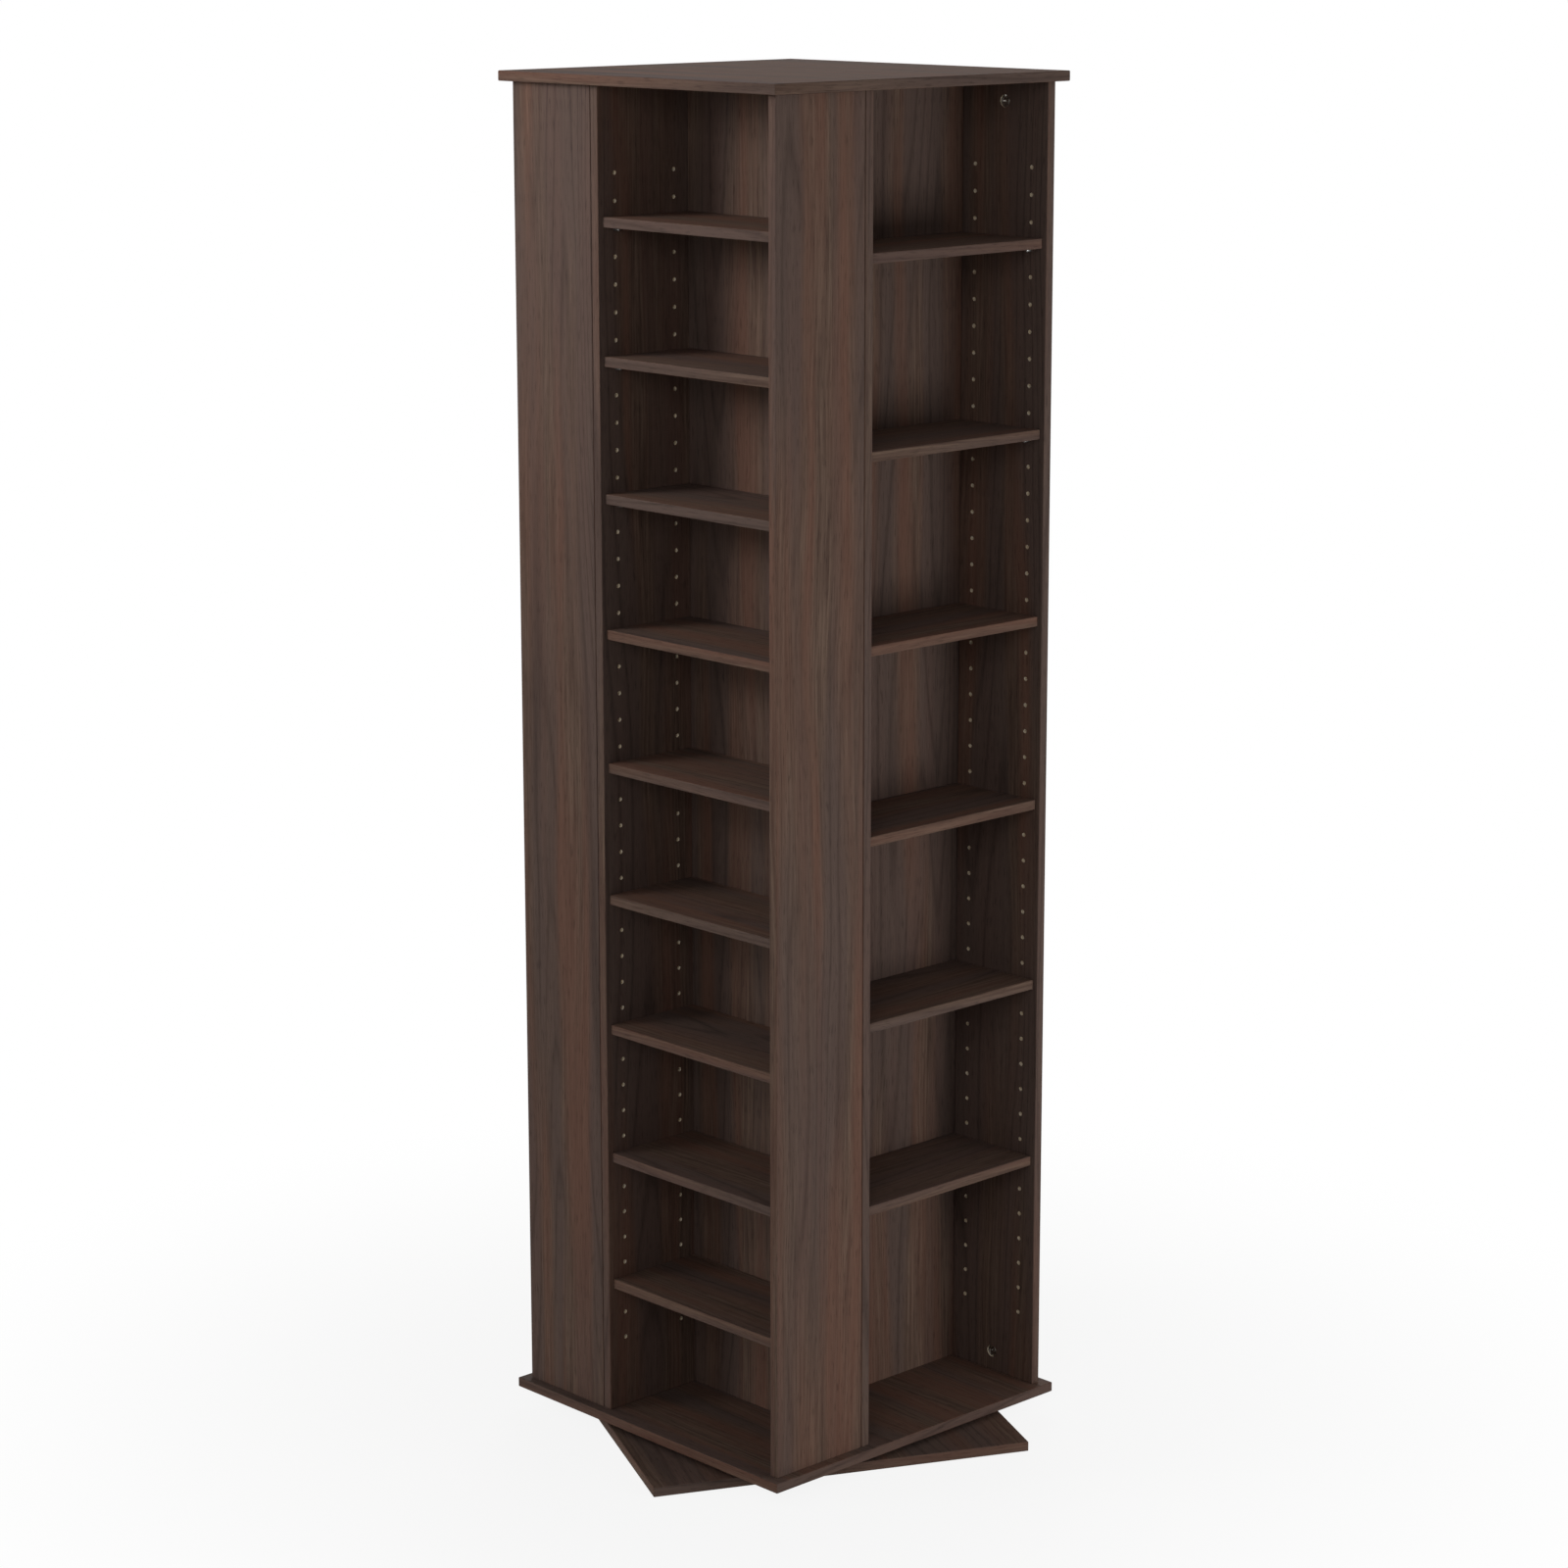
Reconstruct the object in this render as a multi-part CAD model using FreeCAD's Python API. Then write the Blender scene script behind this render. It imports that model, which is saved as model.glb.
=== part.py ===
"""Rotating four-sided media tower: a pinwheel of four open units on a ball-bearing swivel and a base board.

Millimetres, +Z up. The origin is on the spin axis, on the floor. Unit a opens towards -Y, and units
b, c and d follow it anticlockwise, each a quarter turn on. Every piece is written to parts/NAME.step.
"""

import FreeCAD
import Part

import math
import os

Vector = FreeCAD.Vector

# Boards
BOARD_T = 12.0  # side panels and dividers
SHELF_T = 12.0
TOP_T = 12.0
BOTTOM_T = 12.0
BASE_T = 12.0
OPENING_W = 284.0  # clear width of a unit, between its two walls
UNIT_DEPTH = 138.0  # from the open face to the unit's back
INNER_H = 1596.0  # from the bottom panel to the top panel
OVERHANG = 12.0  # top and bottom panels beyond the uprights
BASE_SIDE = 470.0
BASE_ANGLE = -26.0  # how far the base board stands turned from the tower at rest

# Rows of shelf-pin holes, and the rows that carry a shelf
ROW_START = 24.2  # lowest hole, above the bottom panel
ROW_PITCH = 32.0
PIN_FROM_FACE = 25.0
PIN_FROM_BACK = 22.0
PIN_D = 5.0
PIN_OUT = 9.0  # how far a pin stands out of the wall
CD_FIRST_ROW = 4
CD_ROWS_PER_SHELF = 5
DVD_FIRST_ROW = 8
DVD_ROWS_PER_SHELF = 7
LEAST_TOP_SPACE = 140.0  # clear height kept above the highest shelf
SHELF_SETBACK = 6.0  # shelf's front edge behind the open face
SHELF_GAP = 0.5  # shelf to the walls and the back

# Cam locks, cam bolts and dowels
CAM_D = 15.0
CAM_FROM_END = 25.0  # cam's centre to the end of its board
CAM_FLOOR = 2.0  # board left behind a cam
CAM_MOUTH_PLAY = 1.0  # around the bolt, in the cam's open side
CAM_SLOT_W = 1.8  # slot for the screwdriver
CAM_SLOT_L = 9.0
BOLT_D = 6.0
DOWEL_D = 6.0
DOWEL_IN_EDGE = 16.0
DOWEL_FROM_CORNER = 30.0
HOLE_FLOOR = 4.0  # board left behind a blind hole
FIT = 0.05  # radial play of a rod in its hole
END_GAP = 0.5  # between a rod's end and the bottom of its hole

# Swivel bearing: two pressed plates with a ball race between them
BEARING_H = 8.0
BEARING_SIDE = 152.0
PLATE_T = 1.3
PLATE_CORNER_R = 8.0
RACE_FROM_EDGE = 21.0  # ball circle to the plate's edge
RACE_FLOOR = 1.0  # metal left under the groove
RACE_GAP = 2.0  # between the two race rings
RACE_SLOPE = 1.2  # how far the ring's sides lean in towards their rims
GROOVE_ANGLE = 60.0  # groove's flanks from the spin axis
BALL_PLAY = 0.2
BALL_COUNT = 8
SCREW_D = 3.5
SCREW_HEAD_D = 7.0
SCREW_FROM_EDGE = 10.0
SCREW_HOLE_PLAY = 0.4
HEAD_GAP = 0.7  # screw heads stop this short of the bearing's mid-plane
ACCESS_HOLE_D = 20.0  # in the base board, to reach the upper plate's screws

ROD_SIDES = 6  # pins, dowels, bolts, screws and their holes are six-sided, to keep faces few
BALL_SIDES = 8  # a ball is the core of three crossed rods of eight sides, for the same reason
UNITS = "abcd"
JOINT_DOWEL_HEIGHTS = (0.25, 0.75)  # shares of the inner height

# Worked out from the sizes above
HALF = (OPENING_W + UNIT_DEPTH + 2 * BOARD_T) / 2  # uprights' outer faces from the axis
BACK = HALF - UNIT_DEPTH  # front of a divider from the axis
CORE = BACK - BOARD_T  # rear of a divider from the axis
BOTTOM_Z = BASE_T + BEARING_H
FLOOR_Z = BOTTOM_Z + BOTTOM_T
CEILING_Z = FLOOR_Z + INNER_H
X, Y, Z = Vector(1, 0, 0), Vector(0, 1, 0), Vector(0, 0, 1)


def block(low, high):
    """A box from its lowest corner to its highest."""
    size = Vector(*high) - Vector(*low)
    return Part.makeBox(size.x, size.y, size.z, Vector(*low))


def rod(start, direction, length, across, flat_to, sides=ROD_SIDES):
    """A rod with flat sides, one of them facing flat_to. across is measured over the flats."""
    side = direction.cross(flat_to)
    radius = across / 2 / math.cos(math.pi / sides)
    corners = []
    for k in range(sides + 1):
        turn = math.pi * (2 * k + 1) / sides
        corners.append(start + flat_to * (radius * math.cos(turn)) + side * (radius * math.sin(turn)))
    return Part.Face(Part.makePolygon(corners)).extrude(direction * length)


def fitted_rod(joint, direction, back, ahead, across, flat_to):
    """A rod across a joint face, and its hole: back and ahead are the hole's depths on each side."""
    piece = rod(
        joint - direction * (back - END_GAP), direction, back + ahead - 2 * END_GAP, across, flat_to
    )
    hole = rod(joint - direction * back, direction, back + ahead, across + 2 * FIT, flat_to)
    return piece, hole


def quarter_turns(shape, count):
    """The shape turned about the spin axis by a number of quarter turns."""
    turned = shape.copy()
    turned.rotate(Vector(0, 0, 0), Z, 90 * count)
    return turned


def shelf_heights(first_row, rows_per_shelf):
    """Height of the pin holes that carry a shelf, above the bottom panel."""
    heights = []
    height = ROW_START + first_row * ROW_PITCH
    while height + PIN_D / 2 + SHELF_T + LEAST_TOP_SPACE <= INNER_H:
        heights.append(height)
        height += rows_per_shelf * ROW_PITCH
    return heights


def between_rows(share):
    """Height of a joint dowel, halfway between two rows of pin holes."""
    row = math.floor((share * INNER_H - ROW_START) / ROW_PITCH)
    return FLOOR_Z + ROW_START + (row + 0.5) * ROW_PITCH


CD_HEIGHTS = shelf_heights(CD_FIRST_ROW, CD_ROWS_PER_SHELF)
DVD_HEIGHTS = shelf_heights(DVD_FIRST_ROW, DVD_ROWS_PER_SHELF)
HEIGHTS = {"a": CD_HEIGHTS, "b": DVD_HEIGHTS, "c": DVD_HEIGHTS, "d": DVD_HEIGHTS}


# Everything below is made for unit a, opening towards -Y, and turned to the other three units.


def shelf_pins(heights, wall_x, outwards):
    """Pins and their holes for one wall of unit a. outwards is the pins' way out of the wall."""
    depth = BOARD_T - HOLE_FLOOR
    pin_in = depth - END_GAP
    pins, holes = [], []
    for height in heights:
        for y in (-HALF + PIN_FROM_FACE, -BACK - PIN_FROM_BACK):
            mouth = Vector(wall_x, y, FLOOR_Z + height)
            pins.append(rod(mouth - outwards * pin_in, outwards, pin_in + PIN_OUT, PIN_D, Z))
            holes.append(rod(mouth - outwards * depth, outwards, depth, PIN_D + 2 * FIT, Z))
    return pins, holes


def right_wall_pins(heights):
    """Pins in the unit's own side panel."""
    return shelf_pins(heights, HALF - BOARD_T, -X)


def left_wall_pins(heights):
    """Pins in the previous unit's divider, which is this unit's left wall."""
    return shelf_pins(heights, -CORE, X)


def end_dowels():
    """Dowels that join the unit's divider and side panel to the top and bottom panels."""
    middle_of_divider = Vector(HALF - DOWEL_FROM_CORNER, -(BACK + CORE) / 2, 0)
    middle_of_side = Vector(HALF - BOARD_T / 2, -BACK - DOWEL_FROM_CORNER, 0)
    edge_hole = DOWEL_IN_EDGE + END_GAP
    pairs = []
    for spot, normal in ((middle_of_divider, Y), (middle_of_side, X)):
        at_top = spot + Z * CEILING_Z
        at_bottom = spot + Z * FLOOR_Z
        pairs.append(fitted_rod(at_top, Z, edge_hole, TOP_T - HOLE_FLOOR, DOWEL_D, normal))
        pairs.append(fitted_rod(at_bottom, -Z, edge_hole, BOTTOM_T - HOLE_FLOOR, DOWEL_D, normal))
    return pairs


def joint_dowels():
    """Dowels across the two upright joints on the unit's divider."""
    edge_hole = DOWEL_IN_EDGE + END_GAP
    face_hole = BOARD_T - HOLE_FLOOR
    pairs = []
    for share in JOINT_DOWEL_HEIGHTS:
        height = between_rows(share)
        side_panel_joint = Vector(HALF - BOARD_T / 2, -BACK, height)
        next_divider_joint = Vector((BACK + CORE) / 2, -CORE, height)
        pairs.append(fitted_rod(side_panel_joint, Y, edge_hole, face_hole, DOWEL_D, Z))
        pairs.append(fitted_rod(next_divider_joint, -Y, edge_hole, face_hole, DOWEL_D, Z))
    return pairs


def cam_fittings():
    """Cam locks, their bolts, and the holes for both, at the side panel's top and bottom ends."""
    face_x = HALF - BOARD_T  # the side panel's inner face
    middle = Vector(HALF - BOARD_T / 2, -(HALF + BACK) / 2, 0)
    bore_depth = BOARD_T - CAM_FLOOR
    cap = BOARD_T / 2 - BOLT_D / 2 - FIT - END_GAP  # solid face of the cam over the bolt
    cams, bolts, holes = [], [], []
    for end_z, inwards, panel_t in ((CEILING_Z, -Z, TOP_T), (FLOOR_Z, Z, BOTTOM_T)):
        end = middle + Z * end_z
        centre = Vector(face_x, middle.y, end_z) + inwards * CAM_FROM_END
        holes.append(Part.makeCylinder(CAM_D / 2, bore_depth, centre, X))
        cam = Part.makeCylinder(CAM_D / 2 - FIT, bore_depth - END_GAP, centre, X)
        mouth_w = BOLT_D + 2 * CAM_MOUTH_PLAY
        mouth = Part.makeBox(bore_depth, mouth_w, CAM_D)
        mouth.translate(Vector(face_x + cap, centre.y - mouth_w / 2, centre.z))
        if inwards.z > 0:
            mouth.translate(-Z * CAM_D)
        slot = Part.makeBox(cap, CAM_SLOT_W, CAM_SLOT_L)
        slot.translate(centre - Vector(cap, CAM_SLOT_W, CAM_SLOT_L) / 2)
        cams.append(cam.cut([mouth, slot]))
        bolt, hole = fitted_rod(
            end, -inwards, CAM_FROM_END - END_GAP, panel_t - HOLE_FLOOR, BOLT_D, X
        )
        bolts.append(bolt)
        holes.append(hole)
    return cams, bolts, holes


def side_panel(heights):
    """The unit's right wall, whose outer face is part of the next face of the tower."""
    panel = block((HALF - BOARD_T, -HALF, FLOOR_Z), (HALF, -BACK, CEILING_Z))
    holes = right_wall_pins(heights)[1] + cam_fittings()[2]
    for _, hole in end_dowels() + joint_dowels():
        holes.append(hole)
    return panel.cut(holes)


def divider(heights_of_next):
    """The unit's back. Its outer half is the next unit's left wall, so it has that unit's holes."""
    panel = block((-CORE, -BACK, FLOOR_Z), (HALF, -CORE, CEILING_Z))
    holes = [quarter_turns(hole, 1) for hole in left_wall_pins(heights_of_next)[1]]
    for _, hole in end_dowels() + joint_dowels():
        holes.append(hole)
        holes.append(quarter_turns(hole, -1))
        holes.append(quarter_turns(hole, 1))
    return panel.cut(holes)


def shelf(height):
    """A loose shelf that lies on four pins."""
    under = FLOOR_Z + height + PIN_D / 2
    low = (-CORE + SHELF_GAP, -HALF + SHELF_SETBACK, under)
    high = (HALF - BOARD_T - SHELF_GAP, -BACK - SHELF_GAP, under + SHELF_T)
    return block(low, high)


def square_board(side, low_z, thickness):
    """A square board centred on the spin axis."""
    return block((-side / 2, -side / 2, low_z), (side / 2, side / 2, low_z + thickness))


def end_panel(low_z, thickness):
    """The top or the bottom panel, with holes for the uprights' dowels and cam bolts."""
    board = square_board(2 * (HALF + OVERHANG), low_z, thickness)
    unit_holes = [hole for _, hole in end_dowels()] + cam_fittings()[2]
    holes = []
    for turn in range(len(UNITS)):
        holes += [quarter_turns(hole, turn) for hole in unit_holes]
    return board.cut(holes)


# The swivel bearing is made for its lower half. The upper half is the same one turned over.

MID_Z = BASE_T + BEARING_H / 2
BALL_CIRCLE_R = BEARING_SIDE / 2 - RACE_FROM_EDGE
FLANK = math.radians(GROOVE_ANGLE)
BALL_R = (BEARING_H / 2 - RACE_FLOOR) * math.sin(FLANK) - BALL_PLAY
SCREW_SPOT = BEARING_SIDE / 2 - SCREW_FROM_EDGE


def bearing_plate():
    """A square plate with a raised ring that holds half of the ball race."""
    plate = square_board(BEARING_SIDE, BASE_T, PLATE_T)
    upright_edges = [e for e in plate.Edges if abs(e.Vertexes[0].Z - e.Vertexes[1].Z) > PLATE_T / 2]
    plate = plate.makeFillet(PLATE_CORNER_R, upright_edges)
    plate_top = BASE_T + PLATE_T
    ring_top = MID_Z - RACE_GAP / 2
    groove_z = BASE_T + RACE_FLOOR
    groove_half = (ring_top - groove_z) * math.tan(FLANK)
    foot = groove_half + RACE_SLOPE
    cuts = [Part.makeCylinder(BALL_CIRCLE_R + foot, PLATE_T, Vector(0, 0, BASE_T))]
    for x in (-SCREW_SPOT, SCREW_SPOT):
        for y in (-SCREW_SPOT, SCREW_SPOT):
            across = SCREW_D + 2 * SCREW_HOLE_PLAY
            cuts.append(rod(Vector(x, y, BASE_T), Z, PLATE_T, across, X))
    profile = [
        Vector(BALL_CIRCLE_R - foot, 0, BASE_T),
        Vector(BALL_CIRCLE_R - foot, 0, plate_top),
        Vector(BALL_CIRCLE_R - groove_half, 0, ring_top),
        Vector(BALL_CIRCLE_R, 0, groove_z),
        Vector(BALL_CIRCLE_R + groove_half, 0, ring_top),
        Vector(BALL_CIRCLE_R + foot, 0, plate_top),
        Vector(BALL_CIRCLE_R + foot, 0, BASE_T),
    ]
    ring = Part.Face(Part.makePolygon(profile + profile[:1])).revolve(Vector(0, 0, 0), Z, 360)
    return plate.cut(cuts).fuse(ring).removeSplitter()


def bearing_screws(board_t):
    """Four screws down through the lower plate into a board, and their pilot holes."""
    bite = board_t - HOLE_FLOOR
    plate_top = BASE_T + PLATE_T
    head_h = BEARING_H / 2 - PLATE_T - HEAD_GAP
    screws, holes = [], []
    for x in (-SCREW_SPOT, SCREW_SPOT):
        for y in (-SCREW_SPOT, SCREW_SPOT):
            seat = Vector(x, y, plate_top)
            head = rod(seat, Z, head_h, SCREW_HEAD_D, X)
            shank = rod(seat, -Z, PLATE_T + bite - END_GAP, SCREW_D, X)
            screws.append(head.fuse(shank).removeSplitter())
            holes.append(rod(Vector(x, y, BASE_T), -Z, bite, SCREW_D + 2 * FIT, X))
    return screws, holes


def turned_over(shape):
    """The lower half of the bearing turned over, for the upper half."""
    over = shape.copy()
    over.rotate(Vector(0, 0, MID_Z), X, 180)
    return over


def turned_with_base(shape):
    """The shape turned to the angle at which the base stands."""
    turned = shape.copy()
    turned.rotate(Vector(0, 0, 0), Z, BASE_ANGLE)
    return turned


def balls():
    """The balls, evenly spaced in the race."""
    centre = Vector(BALL_CIRCLE_R, 0, MID_Z)
    across = 2 * BALL_R * math.cos(math.pi / BALL_SIDES)
    crossed = []
    for direction, flat_to in ((X, Y), (Y, Z), (Z, X)):
        start = centre - direction * BALL_R
        crossed.append(rod(start, direction, 2 * BALL_R, across, flat_to, BALL_SIDES))
    ball = crossed[0].common(crossed[1]).common(crossed[2])
    out = []
    for k in range(BALL_COUNT):
        placed = ball.copy()
        placed.rotate(Vector(0, 0, 0), Z, 360 * k / BALL_COUNT)
        out.append(placed)
    return out


def base_panel(screw_holes):
    """The base board, with the swivel's pilot holes and the hole to reach the upper screws."""
    access_x = SCREW_SPOT * math.sqrt(2)
    access = Part.makeCylinder(ACCESS_HOLE_D / 2, BASE_T, Vector(access_x, 0, 0))
    return square_board(BASE_SIDE, 0, BASE_T).cut(screw_holes + [access])


def write(name, pieces):
    """Write one node from its solids."""
    shape = pieces[0] if len(pieces) == 1 else Part.makeCompound(pieces)
    shape.exportStep("parts/" + name + ".step")


def main():
    os.makedirs("parts", exist_ok=True)

    lower_screws, base_holes = bearing_screws(BASE_T)
    upper_screws, bottom_holes = bearing_screws(BOTTOM_T)
    write("base_panel", [turned_with_base(base_panel(base_holes))])
    write("bearing_lower_plate", [turned_with_base(bearing_plate())])
    write("bearing_lower_screws", [turned_with_base(screw) for screw in lower_screws])
    write("bearing_balls", balls())
    write("bearing_upper_plate", [turned_over(bearing_plate())])
    write("bearing_upper_screws", [turned_over(screw) for screw in upper_screws])

    bottom = end_panel(BOTTOM_Z, BOTTOM_T).cut([turned_over(hole) for hole in bottom_holes])
    write("bottom_panel", [bottom])
    write("top_panel", [end_panel(CEILING_Z, TOP_T)])

    cams, bolts, dowels = [], [], []
    for turn, unit in enumerate(UNITS):
        heights = HEIGHTS[unit]
        heights_of_next = HEIGHTS[UNITS[(turn + 1) % len(UNITS)]]
        write("side_panel_" + unit, [quarter_turns(side_panel(heights), turn)])
        write("divider_" + unit, [quarter_turns(divider(heights_of_next), turn)])
        for number, height in enumerate(heights, start=1):
            write("shelf_" + unit + "_" + str(number), [quarter_turns(shelf(height), turn)])
        pins = right_wall_pins(heights)[0] + left_wall_pins(heights)[0]
        write("shelf_pins_" + unit, [quarter_turns(pin, turn) for pin in pins])
        unit_cams, unit_bolts, _ = cam_fittings()
        cams += [quarter_turns(cam, turn) for cam in unit_cams]
        bolts += [quarter_turns(bolt, turn) for bolt in unit_bolts]
        dowels += [quarter_turns(dowel, turn) for dowel, _ in end_dowels() + joint_dowels()]
    write("cam_locks", cams)
    write("cam_bolts", bolts)
    write("dowels", dowels)


main()
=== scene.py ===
import math

import bmesh
import bpy
from mathutils import Matrix, Vector


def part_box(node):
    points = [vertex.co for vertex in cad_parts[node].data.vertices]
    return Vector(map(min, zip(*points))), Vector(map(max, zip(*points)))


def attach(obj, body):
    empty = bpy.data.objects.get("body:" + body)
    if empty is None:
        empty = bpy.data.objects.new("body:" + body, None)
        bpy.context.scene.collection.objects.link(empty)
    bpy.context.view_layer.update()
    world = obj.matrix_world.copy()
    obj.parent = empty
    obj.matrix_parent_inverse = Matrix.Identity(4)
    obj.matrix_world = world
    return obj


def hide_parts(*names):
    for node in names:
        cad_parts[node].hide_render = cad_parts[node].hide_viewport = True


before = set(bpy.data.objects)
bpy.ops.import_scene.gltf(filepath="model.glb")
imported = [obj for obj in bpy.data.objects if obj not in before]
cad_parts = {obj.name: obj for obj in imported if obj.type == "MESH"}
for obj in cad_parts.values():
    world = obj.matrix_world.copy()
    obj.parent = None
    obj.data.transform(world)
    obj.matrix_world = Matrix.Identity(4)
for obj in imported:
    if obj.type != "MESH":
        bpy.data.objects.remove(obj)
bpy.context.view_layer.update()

# ---------------------------------------------------------------------------
# Camera: a studio camera on a tall tripod, looking a little down at the tower.
# Its lens is shifted a little, so that the tower stands in the middle of the frame.
# ---------------------------------------------------------------------------
TRIPOD_TOP = (3.3734, -3.1911, 1.8412)
CAMERA_HEADING = math.radians(46.593)
CAMERA_DIP = math.radians(12.054)
CAMERA_ROLL = math.radians(-0.056)
FILM_W_MM = 36
LENS_MM = 90.75
LENS_SHIFT = -0.03
FARTHEST_SEEN = 100

camera = bpy.data.objects.new("camera", bpy.data.cameras.new("camera"))
bpy.context.scene.collection.objects.link(camera)
bpy.context.scene.camera = camera
camera.data.sensor_width = FILM_W_MM
camera.data.lens = LENS_MM
camera.data.shift_y = LENS_SHIFT
camera.data.clip_end = FARTHEST_SEEN
camera.matrix_world = (
    Matrix.Translation(TRIPOD_TOP)
    @ Matrix.Rotation(CAMERA_HEADING, 4, "Z")
    @ Matrix.Rotation(math.pi / 2 - CAMERA_DIP, 4, "X")
    @ Matrix.Rotation(CAMERA_ROLL, 4, "Z")
)

# ---------------------------------------------------------------------------
# Studio: a white paper floor in a white room, with soft boxes on both sides of the
# camera, one beside it and one behind the tower, so that every side is lit.
# ---------------------------------------------------------------------------
FLOOR_SIDE = 60.0
SHADOW_SHARE = 0.12  # how much of the matt paper, with the shadow on it, shows near the tower
SHADOW_REACH = (0.3, 1.3)  # metres from the spin axis between which it fades to plain white
ROOM_FILL = 0.2  # how bright the white room is as a light


def linear(sheet_colour):
    """An sRGB hex colour as linear red, green, blue and alpha."""
    parts = [int(sheet_colour[k:k + 2], 16) / 255 for k in (1, 3, 5)]
    return [c / 12.92 if c <= 0.04045 else ((c + 0.055) / 1.055) ** 2.4 for c in parts] + [1.0]


def add_node(tree, kind, settings=None, inputs=None, stops=()):
    """A shader node with its settings and inputs. An input is a value, a socket to link from, or
    a node whose first output is linked. The stops of a colour ramp are pairs of a position and a
    colour or a grey."""
    node = tree.nodes.new(kind)
    for name, value in (settings or {}).items():
        setattr(node, name, value)
    for _ in stops[2:]:  # a new ramp has two
        node.color_ramp.elements.new(1.0)
    for k, (position, colour) in enumerate(stops):
        stop = node.color_ramp.elements[k]
        stop.position = position
        stop.color = linear(colour) if isinstance(colour, str) else [colour] * 3 + [1.0]
    for key, value in (inputs or {}).items():
        source = value.outputs[0] if isinstance(value, bpy.types.Node) else value
        if isinstance(source, bpy.types.NodeSocket):
            tree.links.new(source, node.inputs[key])
        else:
            node.inputs[key].default_value = source
    return node


def new_material(name):
    """A material and its empty node tree."""
    material = bpy.data.materials.new(name)
    material.use_nodes = True
    material.node_tree.nodes.clear()
    return material, material.node_tree


def seen_rays(tree):
    """1 on the rays that show the backdrop: the camera's, and those of gloss and glass."""
    path = add_node(tree, "ShaderNodeLightPath")
    glossy = add_node(
        tree, "ShaderNodeMath", {"operation": "MAXIMUM"},
        {0: path.outputs["Is Camera Ray"], 1: path.outputs["Is Glossy Ray"]},
    )
    return add_node(
        tree, "ShaderNodeMath", {"operation": "MAXIMUM"},
        {0: glossy, 1: path.outputs["Is Transmission Ray"]},
    )


# White background paper: matt, and bright enough to leave only the soft shadow near the object.
paper, tree = new_material("white_background_paper")
matt = add_node(tree, "ShaderNodeBsdfDiffuse", inputs={"Color": linear("#f2f2f0")})
bright = add_node(tree, "ShaderNodeEmission", inputs={"Color": linear("#ffffff"), "Strength": 1.0})
place = add_node(tree, "ShaderNodeTexCoord")
away = add_node(
    tree, "ShaderNodeVectorMath", {"operation": "LENGTH"}, {0: place.outputs["Object"]}
)
fade = add_node(
    tree, "ShaderNodeMapRange", {"interpolation_type": "SMOOTHSTEP"},
    {
        "Value": away.outputs["Value"],
        "From Min": SHADOW_REACH[0], "From Max": SHADOW_REACH[1],
        "To Min": 1 - SHADOW_SHARE, "To Max": 1.0,
    },
)
veil = add_node(tree, "ShaderNodeMath", {"operation": "MULTIPLY"}, {0: fade, 1: seen_rays(tree)})
both = add_node(tree, "ShaderNodeMixShader", inputs={0: veil, 1: matt, 2: bright})
add_node(tree, "ShaderNodeOutputMaterial", inputs={"Surface": both})

floor_mesh = bpy.data.meshes.new("floor")
sheet = bmesh.new()
bmesh.ops.create_grid(sheet, x_segments=1, y_segments=1, size=FLOOR_SIDE / 2)
sheet.to_mesh(floor_mesh)
sheet.free()
floor_mesh.materials.append(paper)
floor = bpy.data.objects.new("floor", floor_mesh)
bpy.context.scene.collection.objects.link(floor)

room = bpy.data.worlds.new("white_room")
bpy.context.scene.world = room
room.use_nodes = True
tree = room.node_tree
tree.nodes.clear()
strength = add_node(
    tree, "ShaderNodeMapRange",
    inputs={"Value": seen_rays(tree), "To Min": ROOM_FILL, "To Max": 1.0},
)
wall = add_node(
    tree, "ShaderNodeBackground", inputs={"Color": linear("#ffffff"), "Strength": strength}
)
add_node(tree, "ShaderNodeOutputWorld", inputs={"Surface": wall})

# The soft boxes: name, place and aim, side in metres, power in watts, and spread in degrees.
for name, spot, aim, side, power, spread in (
    ("soft_box_left", (-1.0, -1.8, 2.15), (-0.1, -0.2, 1.6), 0.9, 4.8, 64),
    ("soft_box_low", (-1.1, -2.0, 0.3), (-0.1, -0.2, 0.0), 0.7, 1.6, 70),
    ("soft_box_right", (2.9, 0.8, 0.55), (0.2, 0.0, 0.35), 1.3, 37, 180),
    ("soft_box_camera", (2.4, -3.4, 2.2), (0.0, 0.0, 0.8), 1.6, 28, 180),
    ("soft_box_behind", (-2.2, 2.6, 1.1), (0.0, 0.0, 0.9), 1.6, 50, 180),
):
    lamp = bpy.data.lights.new(name, "AREA")
    lamp.size = side
    lamp.energy = power
    lamp.spread = math.radians(spread)
    stand = bpy.data.objects.new(name, lamp)
    bpy.context.scene.collection.objects.link(stand)
    turn = (Vector(aim) - Vector(spot)).to_track_quat("-Z", "Y").to_matrix().to_4x4()
    stand.matrix_world = Matrix.Translation(spot) @ turn

bpy.context.scene.view_settings.view_transform = "Standard"

# ---------------------------------------------------------------------------
# Base board: particle board 12 mm thick, faced with a dark walnut-print foil and
# edged with a strip of the same print. It lies flat on the floor and stands still.
# ---------------------------------------------------------------------------
MM = 0.001
PRINT = "print"  # the UV map that lays the print: across the grain is U, along it is V, in metres
SWAY = 30 * MM
HEART_GREY = 0.5  # how much of a heart's own grey covers the brown
ARCH_COUNT = 12  # lines between the lowest and the highest level of their noise
ARCH_INK = 0.8  # how much of the arches' dark shows
PORE_INK = 0.6  # and of the pores'
MIX_UNDER, MIX_OVER, MIX_RESULT = 6, 7, 2  # the colour sockets of a Mix node

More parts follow.
